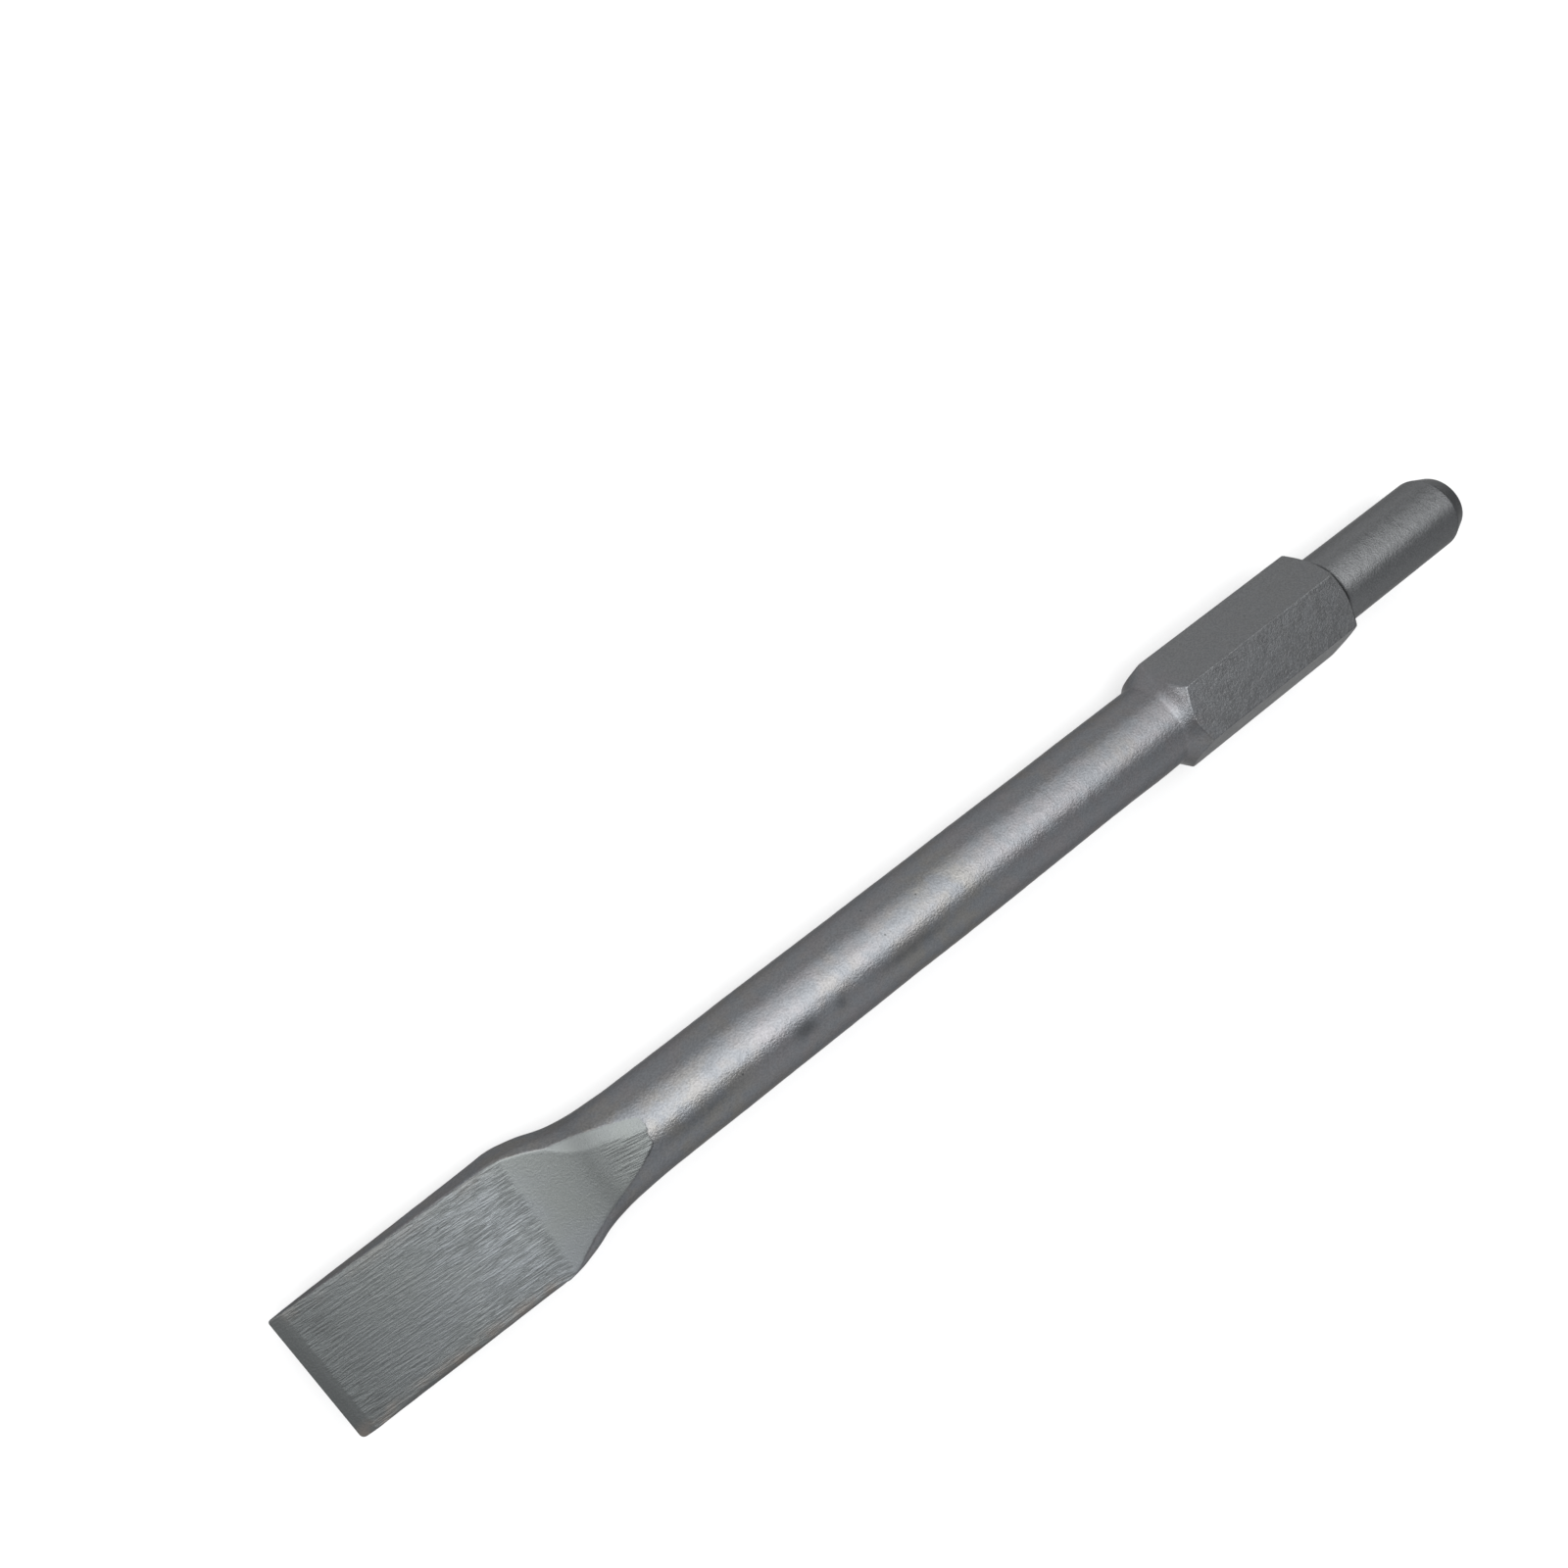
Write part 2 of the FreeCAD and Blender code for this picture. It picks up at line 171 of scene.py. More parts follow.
def curve_through(x, stations, values):
    """Smooth curve through a few stations: on each stretch a cubic whose slope at a station is the mean
    of the slopes of the two stretches that meet there, and level before the first and after the last."""
    stations, values = np.asarray(stations, float), np.asarray(values, float)
    slopes = np.diff(values) / np.diff(stations)
    tangents = np.concatenate([[0.0], (slopes[1:] + slopes[:-1]) / 2, [0.0]])
    x = np.clip(x, stations[0], stations[-1])
    k = np.clip(np.searchsorted(stations, x, side="right") - 1, 0, len(slopes) - 1)
    width = stations[k + 1] - stations[k]
    t = (x - stations[k]) / width
    return ((2 * t**3 - 3 * t**2 + 1) * values[k] + (t**3 - 2 * t**2 + t) * width * tangents[k]
            + (3 * t**2 - 2 * t**3) * values[k + 1] + (t**3 - t**2) * width * tangents[k + 1])


def smooth_step(x, start, end):
    """0 before start, 1 after end, and 3t^2 - 2t^3 between them."""
    t = np.clip((x - start) / (end - start), 0, 1)
    return t * t * (3 - 2 * t)


def fade_in(x, origin, stretch):
    """smooth_step along a stretch that is measured from an origin."""
    return smooth_step(x, origin + stretch[0], origin + stretch[1])


def hollow(x, start, end, radius):
    """Height of the hollow arc of that radius through two points, its centre out past the metal."""
    start, end = np.array(start), np.array(end)
    along = end - start
    chord = np.hypot(*along)
    out = np.array([-along[1], along[0]]) / chord
    centre = (start + end) / 2 + out * math.sqrt(radius**2 - chord**2 / 4)
    return centre[1] - np.sqrt(np.maximum(radius**2 - (x - centre[0]) ** 2, 0))


def body_start(s):
    """Where the shoulder ends and the round body starts."""
    return s.pin_length + s.collar_length + s.shoulder_length


def neck_start(s):
    """Where the forging starts to flatten the body."""
    return s.overall_length - s.blade_length - s.neck_length


def blade_root(s):
    """Where the neck ends and the blade starts."""
    return s.overall_length - s.blade_length


def bevel_start(s):
    """Where the cutting bevel starts."""
    return s.overall_length - s.bevel_length


def ramp_length(s):
    """Length of the ground ramp along the axis, from the round body down to the blade's root."""
    return (s.body_neck_diameter - s.blade_root_thickness) / 2 / math.tan(s.ramp_angle)


def turned_radius(s, x):
    """Radius of the turned bar at x: the pin's long chamfer, the pin, the hollow at its foot, the collar's
    end chamfer, the bar that the hex is cut from, the hollow shoulder, and the slightly tapered body."""
    pin = s.pin_diameter / 2
    ring = s.collar_ring_diameter / 2
    corner = s.collar_corner_diameter / 2
    chamfer_end = s.pin_length + (corner - ring) / math.tan(s.collar_chamfer_angle)
    collar_end = s.pin_length + s.collar_length
    body = body_start(s)
    r = np.interp(x, [0, s.pin_chamfer_length, s.pin_length], [s.struck_face_diameter / 2, pin, pin])
    foot = s.pin_length - s.pin_foot_length
    in_root = (x > foot) & (x <= s.pin_length)
    rise = s.pin_root_radius * (1 - np.sqrt(np.maximum(1 - ((x - foot) / s.pin_foot_length) ** 2, 0)))
    r = np.where(in_root, pin + rise, r)
    r = np.where(x > s.pin_length, np.interp(x, [s.pin_length, chamfer_end], [ring, corner]), r)
    r = np.where(x > collar_end, hollow(x, (collar_end, corner), (body, s.body_root_diameter / 2),
                                        s.shoulder_sweep_radius), r)
    taper = np.interp(x, [body, neck_start(s)], [s.body_root_diameter / 2, s.body_neck_diameter / 2])
    return np.where(x > body, taper, r)


def eased_radius(s, x):
    """The turned radius with its edges eased: the mean over a short stretch each side of x, longest at
    the foot of the shoulder and on the pin's chamfer, which the blast has rounded most."""
    body = body_start(s)
    places = [0, 4, 7, s.pin_length - 2, s.pin_length - 0.2, s.pin_length + 1.5,
              body - 7, body - 5, body, body + 4]
    reach = np.interp(x, places, [0.1, 0.45, 0.45, 0.15, 0.08, 0.25, 0.25, 0.3, 0.6, 0.1])
    offsets = np.linspace(-1, 1, 9)
    weights = 1 - offsets**2 * 0.9
    total = sum(w * turned_radius(s, x + reach * q) for w, q in zip(weights, offsets))
    return total / weights.sum()


# Places along the neck as shares of its length, and how far the blank is widened and flattened there.
NECK_PLACES = (0.12, 0.29, 0.44, 0.59, 0.73, 0.88, 1.0)
NECK_WIDENED = (0, 0.03, 0.10, 0.30, 0.67, 0.94, 1)
NECK_FLATTENED = (0, 0.09, 0.23, 0.46, 0.72, 0.92, 1)


def forged_section(s, t):
    """Half width, half height and corner radius of the forged blank at t. Up to the neck all three are
    the turned radius; along the neck they turn into the flat blade's."""
    neck = neck_start(s)
    bar = eased_radius(s, np.minimum(t, neck))
    share = (t - neck) / s.neck_length
    widened = curve_through(share, NECK_PLACES, NECK_WIDENED)
    flattened = curve_through(share, NECK_PLACES, NECK_FLATTENED)
    half_width = bar + widened * (s.blade_root_width / 2 - bar)
    along_blade = np.clip((t - blade_root(s)) / s.blade_length, 0, 1)
    half_width += (s.blade_width - s.blade_root_width) / 2 * along_blade
    half_height = bar + flattened * (s.blade_stock_thickness / 2 - bar)
    corner = bar + flattened * (s.neck_edge_radius - bar)
    return half_width, half_height, corner


# The roll of the ramp is full this far past its top. The blade's crown fades in from before its root to
# past it, and out again before the bevel. All in mm.
ROLL_PAST = 4.0
CROWN_BEFORE_ROOT = 8.0
CROWN_PAST_ROOT = 4.0
CROWN_FADE = 22.0


def ground_height(s, t, y):
    """Height of the ground top over the axis: the ramp's plane, rolled over at its top, meets the blade's
    plane in a wide hollow, which is the soft maximum (a + b + sqrt((a - b)^2 + k^2)) / 2 of the two."""
    root, bevel = blade_root(s), bevel_start(s)
    run = root - t
    fall = (s.blade_root_thickness - s.blade_tip_thickness) / 2 / (bevel - root)
    along = np.clip(-run / (bevel - root), 0, 1)
    wedge = s.blade_root_thickness / 2 + run * fall + s.blade_bow * 4 * along * (1 - along)
    roll = math.tan(s.ramp_roll) * np.clip(run, 0, None) / (ramp_length(s) + ROLL_PAST)
    ramp = s.blade_root_thickness / 2 + run * math.tan(s.ramp_angle) + y * roll
    crown = s.blade_crown * np.clip(np.abs(y) * 2 / s.blade_width, 0, 1) ** 3
    crown = crown * smooth_step(t, root - CROWN_BEFORE_ROOT, root + CROWN_PAST_ROOT)
    crown = crown * (1 - smooth_step(t, bevel - CROWN_FADE, bevel))
    return (wedge + ramp + np.sqrt((wedge - ramp) ** 2 + s.neck_hollow**2)) / 2 - crown


def bevel_height(s, t):
    """Height of the cutting bevel over the axis, from the land at the edge back into the blade."""
    rise = (s.blade_tip_thickness - s.edge_land) / 2 / s.bevel_length
    return s.edge_land / 2 + (s.overall_length - t) * rise


# A face that isn't there counts as this far away, in mm, and the wheel's arc counts up to this share of
# its radius, just before it stands upright.
FAR = 99.0
ARC_END = 0.98


def flank_distance(s, t):
    """Distance of the hand-ground flank facet from the axis: it falls along its straight part and then
    rises on the arc that the grinding wheel leaves."""
    start = blade_root(s) - ramp_length(s) - s.flank_lead
    end = start + s.flank_length
    bar = s.body_neck_diameter / 2
    low = bar - s.flank_length * math.tan(s.flank_angle)
    centre = (end + s.flank_run_out_radius * math.sin(s.flank_angle),
              low + s.flank_run_out_radius * math.cos(s.flank_angle))
    arc = centre[1] - np.sqrt(np.maximum(s.flank_run_out_radius**2 - (t - centre[0]) ** 2, 0))
    past = t > centre[0] + s.flank_run_out_radius * ARC_END
    straight = bar - (t - start) * math.tan(s.flank_angle)
    return np.where(past, FAR, np.where(t > end, arc, straight))


# Radius at which places round the body are measured, and where the uneven forged skin starts, in mm.
BODY_RADIUS = 12.7
FORGED_FROM = (130, 150)

# Long waves of the forged skin: millimetres along it for one radian, times round it, phase, share.
WAVES = ((11.3, 2, 0.4, 1.0), (6.1, -3, 2.1, 0.6), (23.0, 1, 4.0, 0.9), (3.7, 5, 0.0, 0.3))

# Short ripples: millimetres for one radian, times round, phase, and the length and size of their own drift.
RIPPLES = ((0.75, 9, 0.0, 5.0, 1.0), (1.05, -11, 1.0, 5.0, 0.0), (1.6, 15, 2.0, 5.0, 0.0),
           (0.6, 3, 0.0, 9.0, 2.0))

# Soft swellings: place along the chisel, reach and height, in mm, and the middle of the side that they
# lie on, in degrees from the top towards +Y, with their reach round the bar, in radians.
SWELLINGS = ((135.5, 6.5, 0.30), (196.0, 20.0, 0.18))
SWOLLEN_SIDE, SWOLLEN_BREADTH = 95, 0.5

# Shallow dents in the body: place along it, degrees round from the top towards +Y, width, depth, in mm.
DENTS = ((146.5, -84, 1.5, 0.16), (158.0, 84, 1.4, 0.14), (217.0, 97, 1.6, 0.16), (188.0, 38, 2.2, 0.08),
         (238.0, -52, 2.6, 0.07), (262.0, 30, 2.0, 0.08), (277.0, -96, 1.7, 0.12), (170.0, 160, 2.4, 0.12),
         (205.0, 205, 2.2, 0.12), (250.0, 175, 2.8, 0.10), (290.0, 130, 2.0, 0.10))


def turn_from(around, degrees):
    """Signed angle in radians from a place round the bar, given in degrees from the top towards +Y."""
    return np.mod(around - math.radians(degrees) + np.pi, 2 * np.pi) - np.pi


def wander(s, t, around):
    """Unevenness of the forged skin: sine waves along and round the bar, and Gaussian dents, all of them
    gone on the turned pin and the hex, and soft Gaussian swellings on the +Y side in two places."""
    free = smooth_step(t, *FORGED_FROM)
    waves = sum(share * np.sin(t / long + times * around + phase) for long, times, phase, share in WAVES)
    ripples = sum(np.sin(t / long + times * around + phase + drift * np.sin(t / drift_long))
                  for long, times, phase, drift_long, drift in RIPPLES)
    total = waves * s.forging_wander / 2 + ripples * s.hammer_ripple / 2
    for at, turn, wide, deep in DENTS:
        off = turn_from(around, turn) * BODY_RADIUS
        total = total - deep * np.exp(-((t - at) ** 2 + off**2) / wide**2)
    swelling = sum(high * np.exp(-((t - at) / reach) ** 2) for at, reach, high in SWELLINGS)
    side = np.exp(-(turn_from(around, SWOLLEN_SIDE) / SWOLLEN_BREADTH) ** 2)
    return total * free + side * swelling


# No face is ground nearer the struck end than this. The ramp and the flank facet would run out to nothing,
# and from these places on they rise steeply instead, which leaves the crisp lip of real grinding.
GRINDING_FROM, RAMP_FROM, FLANK_FROM = 290.0, 310.0, 309.2
LIP_SLOPE = 2.5

# A point's height over a ground face, times this, is its distance from it, because the face leans.
LEAN = 0.98

# Along the flats the bar is this much larger, in mm, so that the hex's long corners come out sharp. It
# grows and shrinks again between these places, from the collar's ring and from its shoulder.
HEX_SPARE = 0.3
SPARE_FROM_RING = (2.8, 3.4)
SPARE_FROM_SHOULDER = (-0.8, -0.2)

# The ground faces lie off true by this height, in waves with these lengths for one radian along the
# chisel and across it, in mm.
LIE_HEIGHT, LIE_LONG, LIE_ACROSS = 0.05, 7.0, 9.0


def cuts(s, t, y, z):
    """How far a point lies outside each face that bounds the steel, with the rounding that the face's
    edges have: forged blank, three pairs of hex flats, then ground face, bevel and flank facet on top and
    the same three below, and the struck face."""
    half_width, half_height, corner = forged_section(s, t)
    worn = np.where(y < 0, s.edge_near_corner_radius, s.edge_far_corner_radius)
    into = np.clip(worn - (s.overall_length - t), 0, worn)
    half_width = half_width - (worn - np.sqrt(worn**2 - into**2))
    corner = np.minimum(corner, half_height)
    qy, qz = np.abs(y) - half_width + corner, np.abs(z) - half_height + corner
    blank = np.hypot(np.maximum(qy, 0), np.maximum(qz, 0)) + np.minimum(np.maximum(qy, qz), 0) - corner
    collar_end = s.pin_length + s.collar_length
    on_hex = fade_in(t, s.pin_length, SPARE_FROM_RING) * (1 - fade_in(t, collar_end, SPARE_FROM_SHOULDER))
    blank = blank - wander(s, t, np.arctan2(y, z)) - HEX_SPARE * on_hex
    root = blade_root(s)
    soft = np.interp(t, [root - 6, root + 4], [s.edge_softness, s.edge_softness / 2])
    out = [(blank, soft)]
    off_collar = np.where(t > body_start(s) + 1, FAR, 0.0)
    for turn in (0, 60, 120):
        a = math.radians(turn)
        flat = np.abs(y * math.sin(a) + z * math.cos(a)) - s.collar_across_flats / 2
        out.append((flat - off_collar, s.collar_edge_radius))
    early = np.where(t < GRINDING_FROM, FAR, 0.0)
    ramp_lip = np.clip(RAMP_FROM - t, 0, None) * LIP_SLOPE
    flank = flank_distance(s, t) + np.clip(FLANK_FROM - t, 0, None) * LIP_SLOPE
    a = s.flank_roll
    for side in (1, -1):
        lie = LIE_HEIGHT * np.sin(t / LIE_LONG + side) * np.sin(side * y / LIE_ACROSS + 1.0)
        ground = ground_height(s, t, side * y) + lie + ramp_lip
        out.append(((side * z - ground) * LEAN - early, soft))
        out.append(((side * z - bevel_height(s, t)) * LEAN - early, soft))
        out.append((side * (z * math.cos(a) - y * math.sin(a)) - flank - early, soft))
    out.append((-t, s.struck_edge_radius))
    return out


def outside(s, t, y, z):
    """Above 0 outside the steel. Each face's distance plus its rounding, where that is positive, is
    divided by the rounding; the root of the sum of squares is 1 on a surface with rounded edges."""
    total = 0.0
    for distance, rounding in cuts(s, t, y, z):
        total = total + (np.maximum(distance + rounding, 0) / rounding) ** 2
    return np.sqrt(total) - 1


# Rows of the surface along the chisel: each stretch starts at this many millimetres and has rows this
# far apart, closest where edges and hollows are.
STRETCHES = ((0.0, 0.08), (0.7, 0.7), (4.9, 0.14), (6.3, 2.5), (55.0, 0.16), (58.3, 0.16), (61.6, 2.4),
             (121.0, 0.2), (129.0, 0.9), (298.0, 0.4), (308.6, 0.2), (311.4, 0.38), (348.0, 1.1),
             (393.0, 0.35), (397.0, 0.22), (399.0, 0.1))
COLUMNS = 168

# The columns leave the hex's corners along the first stretch and turn from round to flat along the
# second, in mm. On a hex flat a column's turn is its share of the flat to this power.
HEX_TO_ROUND = (130, 160)
ROUND_TO_FLAT = (300, 352)
HEX_CROWDING = 1.6


def row_places(s):
    """Places of the rows along the chisel, from the struck face to the cutting edge. No row comes closer
    to the next stretch than 0.4 of a step."""
    ends = [start for start, _ in STRETCHES[1:]] + [s.overall_length]
    rows = [np.arange(start, end - step * 0.4, step) for (start, step), end in zip(STRETCHES, ends)]
    return np.concatenate(rows + [[s.overall_length]])


def aims(s, t):
    """Points that the columns of the surface aim at from the axis: on the round and hex part a circle with
    its columns drawn together at the hex corners, on the blade its rectangle with the columns drawn
    together at the corners, and a blend of both along the neck."""
    j = np.arange(COLUMNS)
    step = 2 * np.pi / COLUMNS
    sector = j % (COLUMNS // 6) - COLUMNS // 12
    share = sector / (COLUMNS / 12)
    near_hex = (1 - smooth_step(t, *HEX_TO_ROUND))[:, None]
    warped = np.sign(share) * np.abs(share) ** HEX_CROWDING
    turn = (j - sector) * step + (near_hex * warped + (1 - near_hex) * share) * step * COLUMNS / 12
    round_y, round_z = np.sin(turn), np.cos(turn)

    half = COLUMNS // 2
    top_reach = COLUMNS * 5 // 24
    side_reach = COLUMNS // 4 - top_reach
    across = (j + half) % COLUMNS - half
    top = np.abs(across) <= top_reach
    bottom = np.abs(across) >= half - top_reach
    beside = np.where(bottom, np.sign(across) * (half - np.abs(across)) / top_reach, np.sign(across))
    w = np.where(top, across / top_reach, beside)
    w = w * (1.25 - 0.25 * w * w)
    up = np.where(top, 1.0, np.where(bottom, -1.0, (COLUMNS // 4 - np.abs(across)) / side_reach))
    half_width, half_height, _ = forged_section(s, t)
    height = np.minimum(np.minimum(ground_height(s, t, 0 * t), bevel_height(s, t)), half_height)
    flat_y, flat_z = w[None, :] * half_width[:, None], up[None, :] * height[:, None]
    blend = smooth_step(t, *ROUND_TO_FLAT)[:, None]
    scale = (half_height + half_width)[:, None] / 2 * (1 - blend)
    return round_y * scale + flat_y * blend, round_z * scale + flat_z * blend


# Patches of dark scale: place, degrees round from the top towards +Y, half length, half width, strength.
SCALE_PATCHES = ((264.0, 8, 3.4, 2.2, 0.65), (252.5, 9, 1.8, 2.0, 0.4), (229.0, 10, 11.0, 1.7, 0.5),
                 (297.0, 11, 11.0, 1.7, 0.4), (206.0, 70, 4.0, 2.4, 0.4), (170.0, 150, 9.0, 4.0, 0.5),
                 (235.0, 200, 12.0, 3.0, 0.5), (188.0, -120, 8.0, 3.0, 0.5), (272.0, -150, 7.0, 4.0, 0.5))

# How far painted shade darkens the ground steel, at places in mm past the blade's root.
PAINTED_SHADE_PLACES = (-34, -29, -25, -21, -17, -12, -7.5, -3, 1, 5, 9, 17, 25, 33, 41, 49, 51.4, 52.4, 53.2)
PAINTED_SHADE_SHARES = (0.5, 0.56, 0.68, 0.82, 0.67, 0.54, 0.44, 0.3, 0.22, 0.3, 0.33, 0.45, 0.62, 0.72, 0.84,
                 0.98, 0.95, 0.92, 0.97)

# Painted shade in a ring at the foot of the pin, beside the collar: strength, distance back from the
# collar, half length, and the places across the chisel between which it fades out, in mm.
FOOT_SHADE_STRENGTH, FOOT_SHADE_BACK, FOOT_SHADE_LONG = 1.1, 0.9, 1.4
FOOT_SHADE_FADE = (1, 6)

# The stretch of the ramp's upper edge that gets a painted dark line of shade where the ramp's step stands:
# its middle and half length, and the places across the chisel between which it fades in, in mm.
CREASE_SHADE_MIDDLE, CREASE_SHADE_LONG = 311.5, 3.2
CREASE_SHADE_FADE = (-4.5, -3)

# Stretches in mm over which fields fade in or out. Belt lines start near the blade's root and end at the
# bevel. Streaks start where the ramp takes over from the flank facet and end on the way to the root. The
# film of oil starts beside the blade's long edges, near its root, and is weaker on one side.
BELT_FROM_ROOT, BELT_FROM_BEVEL = (-5, -3), (-0.6, 0)
RAKE_PAST_FLANK, RAKE_FROM_ROOT = (-0.15, 0.05), (-27, -22.5)
RIM_FROM_SIDE, RIM_FROM_ROOT, RIM_ACROSS = (-4.5, -0.6), (-6, 4), (-2, 2)
RIM_WEAK_SIDE = 0.3

# How much the collar has the turned pin's colour, and where that fades out, in mm.
COLLAR_TURNED = 0.85
COLLAR_FADE = (118, 126)


def scale_and_foot_shade(s, places, y, z):
    """Strength of the dark scale colour: patches of scale that fall off like exp(-|a|^3 - b^2), with a and
    b the distances along and round the body, and painted shade in a ring at the foot of the pin that fades
    out on its +Y side."""
    around = np.arctan2(y, z)
    scale = np.zeros_like(places)
    for at, turn, long, wide, strength in SCALE_PATCHES:
        off = turn_from(around, turn) * BODY_RADIUS
        patch = strength * np.exp(-np.abs((places - at) / long) ** 3 - (off / wide) ** 2)
        scale = np.maximum(scale, patch)
    # Painted shade at the foot of the pin, beside the collar, laid on with the scale colour.
    foot = FOOT_SHADE_STRENGTH * np.exp(-((places - s.pin_length + FOOT_SHADE_BACK) / FOOT_SHADE_LONG) ** 4)
    return np.maximum(scale, foot * (1 - smooth_step(y, *FOOT_SHADE_FADE)))


def finish_fields(s, places, y, z):
    """What the finish follows. crease is the distance in mm past the line where the grinding starts, belted
    where the belt leaves lines on the blade, raked where it leaves streaks at the ramp's top, rim how near
    the blade's long edges are, painted_shade how far painted shade darkens the ground steel and the skin
    beside it, scale the dark scale with painted shade at the foot of the pin, lip the part of the crease
    that gets a painted dark line of shade where the ramp's step stands, and turned the steel that a lathe
    has cut."""
    root, bevel = blade_root(s), bevel_start(s)
    faces = np.stack([distance for distance, _ in cuts(s, places, y, z)])
    blank, ground, ramps, flanks = faces[0], faces[4:10], faces[[4, 7]], faces[[6, 9]]
    belted = fade_in(places, root, BELT_FROM_ROOT) * (1 - fade_in(places, bevel, BELT_FROM_BEVEL))
    raked = smooth_step(ramps.max(0) - flanks.max(0), *RAKE_PAST_FLANK)
    raked = raked * (1 - fade_in(places, root, RAKE_FROM_ROOT))
    across = y * np.sign(z)
    half_width = forged_section(s, places[:, 0])[0][:, None]
    rim = fade_in(np.abs(y), half_width, RIM_FROM_SIDE) * fade_in(places, root, RIM_FROM_ROOT)
    rim = rim * (RIM_WEAK_SIDE + (1 - RIM_WEAK_SIDE) * smooth_step(across, *RIM_ACROSS))
    lip = np.exp(-((places - CREASE_SHADE_MIDDLE) / CREASE_SHADE_LONG) ** 4) * smooth_step(across, *CREASE_SHADE_FADE)
    collar = COLLAR_TURNED * (1 - smooth_step(places, *COLLAR_FADE))
    return {
        "crease": np.clip(ground.max(0) - blank, -1, 1),
        "belted": belted,
        "raked": raked,
        "rim": rim,
        "painted_shade": curve_through(places - root, PAINTED_SHADE_PLACES, PAINTED_SHADE_SHARES),
        "scale": scale_and_foot_shade(s, places, y, z),
        "lip": lip,
        "turned": np.where(places < s.pin_length + 0.5, 1, collar),
    }


# Steps out along a ray, as shares of the way to its aim: the longest twice, then half as long each time.
RAY_STEPS = [0.8] + [0.8 / 2**k for k in range(28)]


def chisel_surface(s):
    """The whole skin of the chisel as a grid, rows along it and columns round it. A point is where the ray
    from the axis to its aim leaves the steel, found by steps out along the ray that get half as long each
    time, on whole arrays. Towards the edge the rows turn, to lie along the slightly skewed cutting edge.
    Returns x, y, z and the fields that the finish follows."""
    t = row_places(s)
    aim_y, aim_z = aims(s, t)
    places = np.repeat(t[:, None], COLUMNS, 1)
    reach = np.zeros_like(aim_y)
    for step in RAY_STEPS:
        ahead = reach + step
        reach = np.where(outside(s, places, aim_y * ahead, aim_z * ahead) <= 1e-9, ahead, reach)
    y, z = aim_y * reach, aim_z * reach
    skewed = smooth_step(places, blade_root(s) + 5, s.overall_length)
    x = places - skewed * s.edge_skew * (y / s.blade_width + 0.5)
    return x, y, z, finish_fields(s, places, y, z)


def closed_faces(rows, columns, pole):
    """Faces of the grid as whole arrays: quads between rows, a fan to the pole on the struck face, and
    across the land of the cutting edge quads, whose columns pair up above and below the middle plane, and
    a triangle at each end."""
    r, c = np.meshgrid(np.arange(rows - 1), np.arange(columns), indexing="ij")
    a, b = r * columns + c, r * columns + (c + 1) % columns
    quads = np.stack([a, b, b + columns, a + columns], -1).reshape(-1, 4)
    c = np.arange(columns)
    fan = np.stack([np.full(columns, pole), (c + 1) % columns, c], -1)
    last = (rows - 1) * columns
    quarter = columns // 4
    i = np.arange(-quarter + 1, quarter - 1)
    upper, next_upper = i % columns, (i + 1) % columns
    lower, next_lower = (columns // 2 - i) % columns, (columns // 2 - i - 1) % columns
    land = np.stack([last + upper, last + next_upper, last + next_lower, last + lower], -1)
    ends = np.array([[land[0][0], land[0][3], last + columns - quarter],
                     [land[-1][1], last + quarter, land[-1][2]]])
    return quads, fan, land, ends


# Rings on the struck face, as shares of the way from its middle to its edge.
STRUCK_RINGS = np.linspace(0.12, 1, 12)[:-1, None]


def mark_hex_corners(mesh, s, points):
    """Marks the edges along the hex's six long corners as sharp."""
    ends = np.empty(len(mesh.edges) * 2, int)
    mesh.edges.foreach_get("vertices", ends)
    ends = ends.reshape(-1, 2)
    sixth = COLUMNS // 6
    on_corner = (ends % COLUMNS % sixth == sixth // 2).all(1) & (ends.max(1) < len(points) - 1)
    at = points[ends, 0] / MM
    on_hex = ((at > s.pin_length + 1) & (at < s.pin_length + s.collar_length)).all(1)
    mesh.edges.foreach_set("use_edge_sharp", on_corner & on_hex)


def make_chisel(sizes):
    """Puts the surface into a mesh object: its points in metres, its fields as attributes and its struck
    face closed by rings that shrink to the middle."""
    s = in_millimetres(sizes)
    x, y, z, fields = chisel_surface(s)
    x = np.concatenate([np.zeros((len(STRUCK_RINGS), COLUMNS)) + x[0], x])
    y = np.concatenate([STRUCK_RINGS * y[0], y])
    z = np.concatenate([STRUCK_RINGS * z[0], z])
    points = np.stack([x, y, z], -1).reshape(-1, 3) * MM
    points = np.concatenate([points, [[x[0, 0] * MM, 0, 0]]])
    mesh = bpy.data.meshes.new("forged_chisel")
    faces = [kind[:, ::-1].tolist() for kind in closed_faces(len(x), COLUMNS, len(points) - 1)]
    mesh.from_pydata(points, [], sum(faces, []))
    mesh.polygons.foreach_set("use_smooth", np.ones(len(mesh.polygons), bool))
    mark_hex_corners(mesh, s, points)
    for name, values in fields.items():
        layer = mesh.attributes.new(name, "FLOAT", "POINT")
        values = np.concatenate([np.repeat(values[:1], len(STRUCK_RINGS), 0), values]).ravel()
        values = np.append(values, values[0])
        layer.data.foreach_set("value", values.astype(np.float32))
    mesh.update()
    if mesh.validate():
        raise RuntimeError("the chisel's surface has a broken face")
    return bpy.data.objects.new("forged_chisel", mesh)


def add_node(tree, kind, settings=None, inputs=None, out=None):
    """Adds a node, sets its own settings, and fills its inputs: a socket that is given is linked, and any
    other value is set. Returns the node, or the output socket that out names."""
    node = tree.nodes.new(kind)
    for key, value in (settings or {}).items():
        setattr(node, key, value)
    for key, value in (inputs or {}).items():
        if isinstance(value, bpy.types.NodeSocket):
            tree.links.new(value, node.inputs[key])
        else:
            node.inputs[key].default_value = value
    return node if out is None else node.outputs[out]


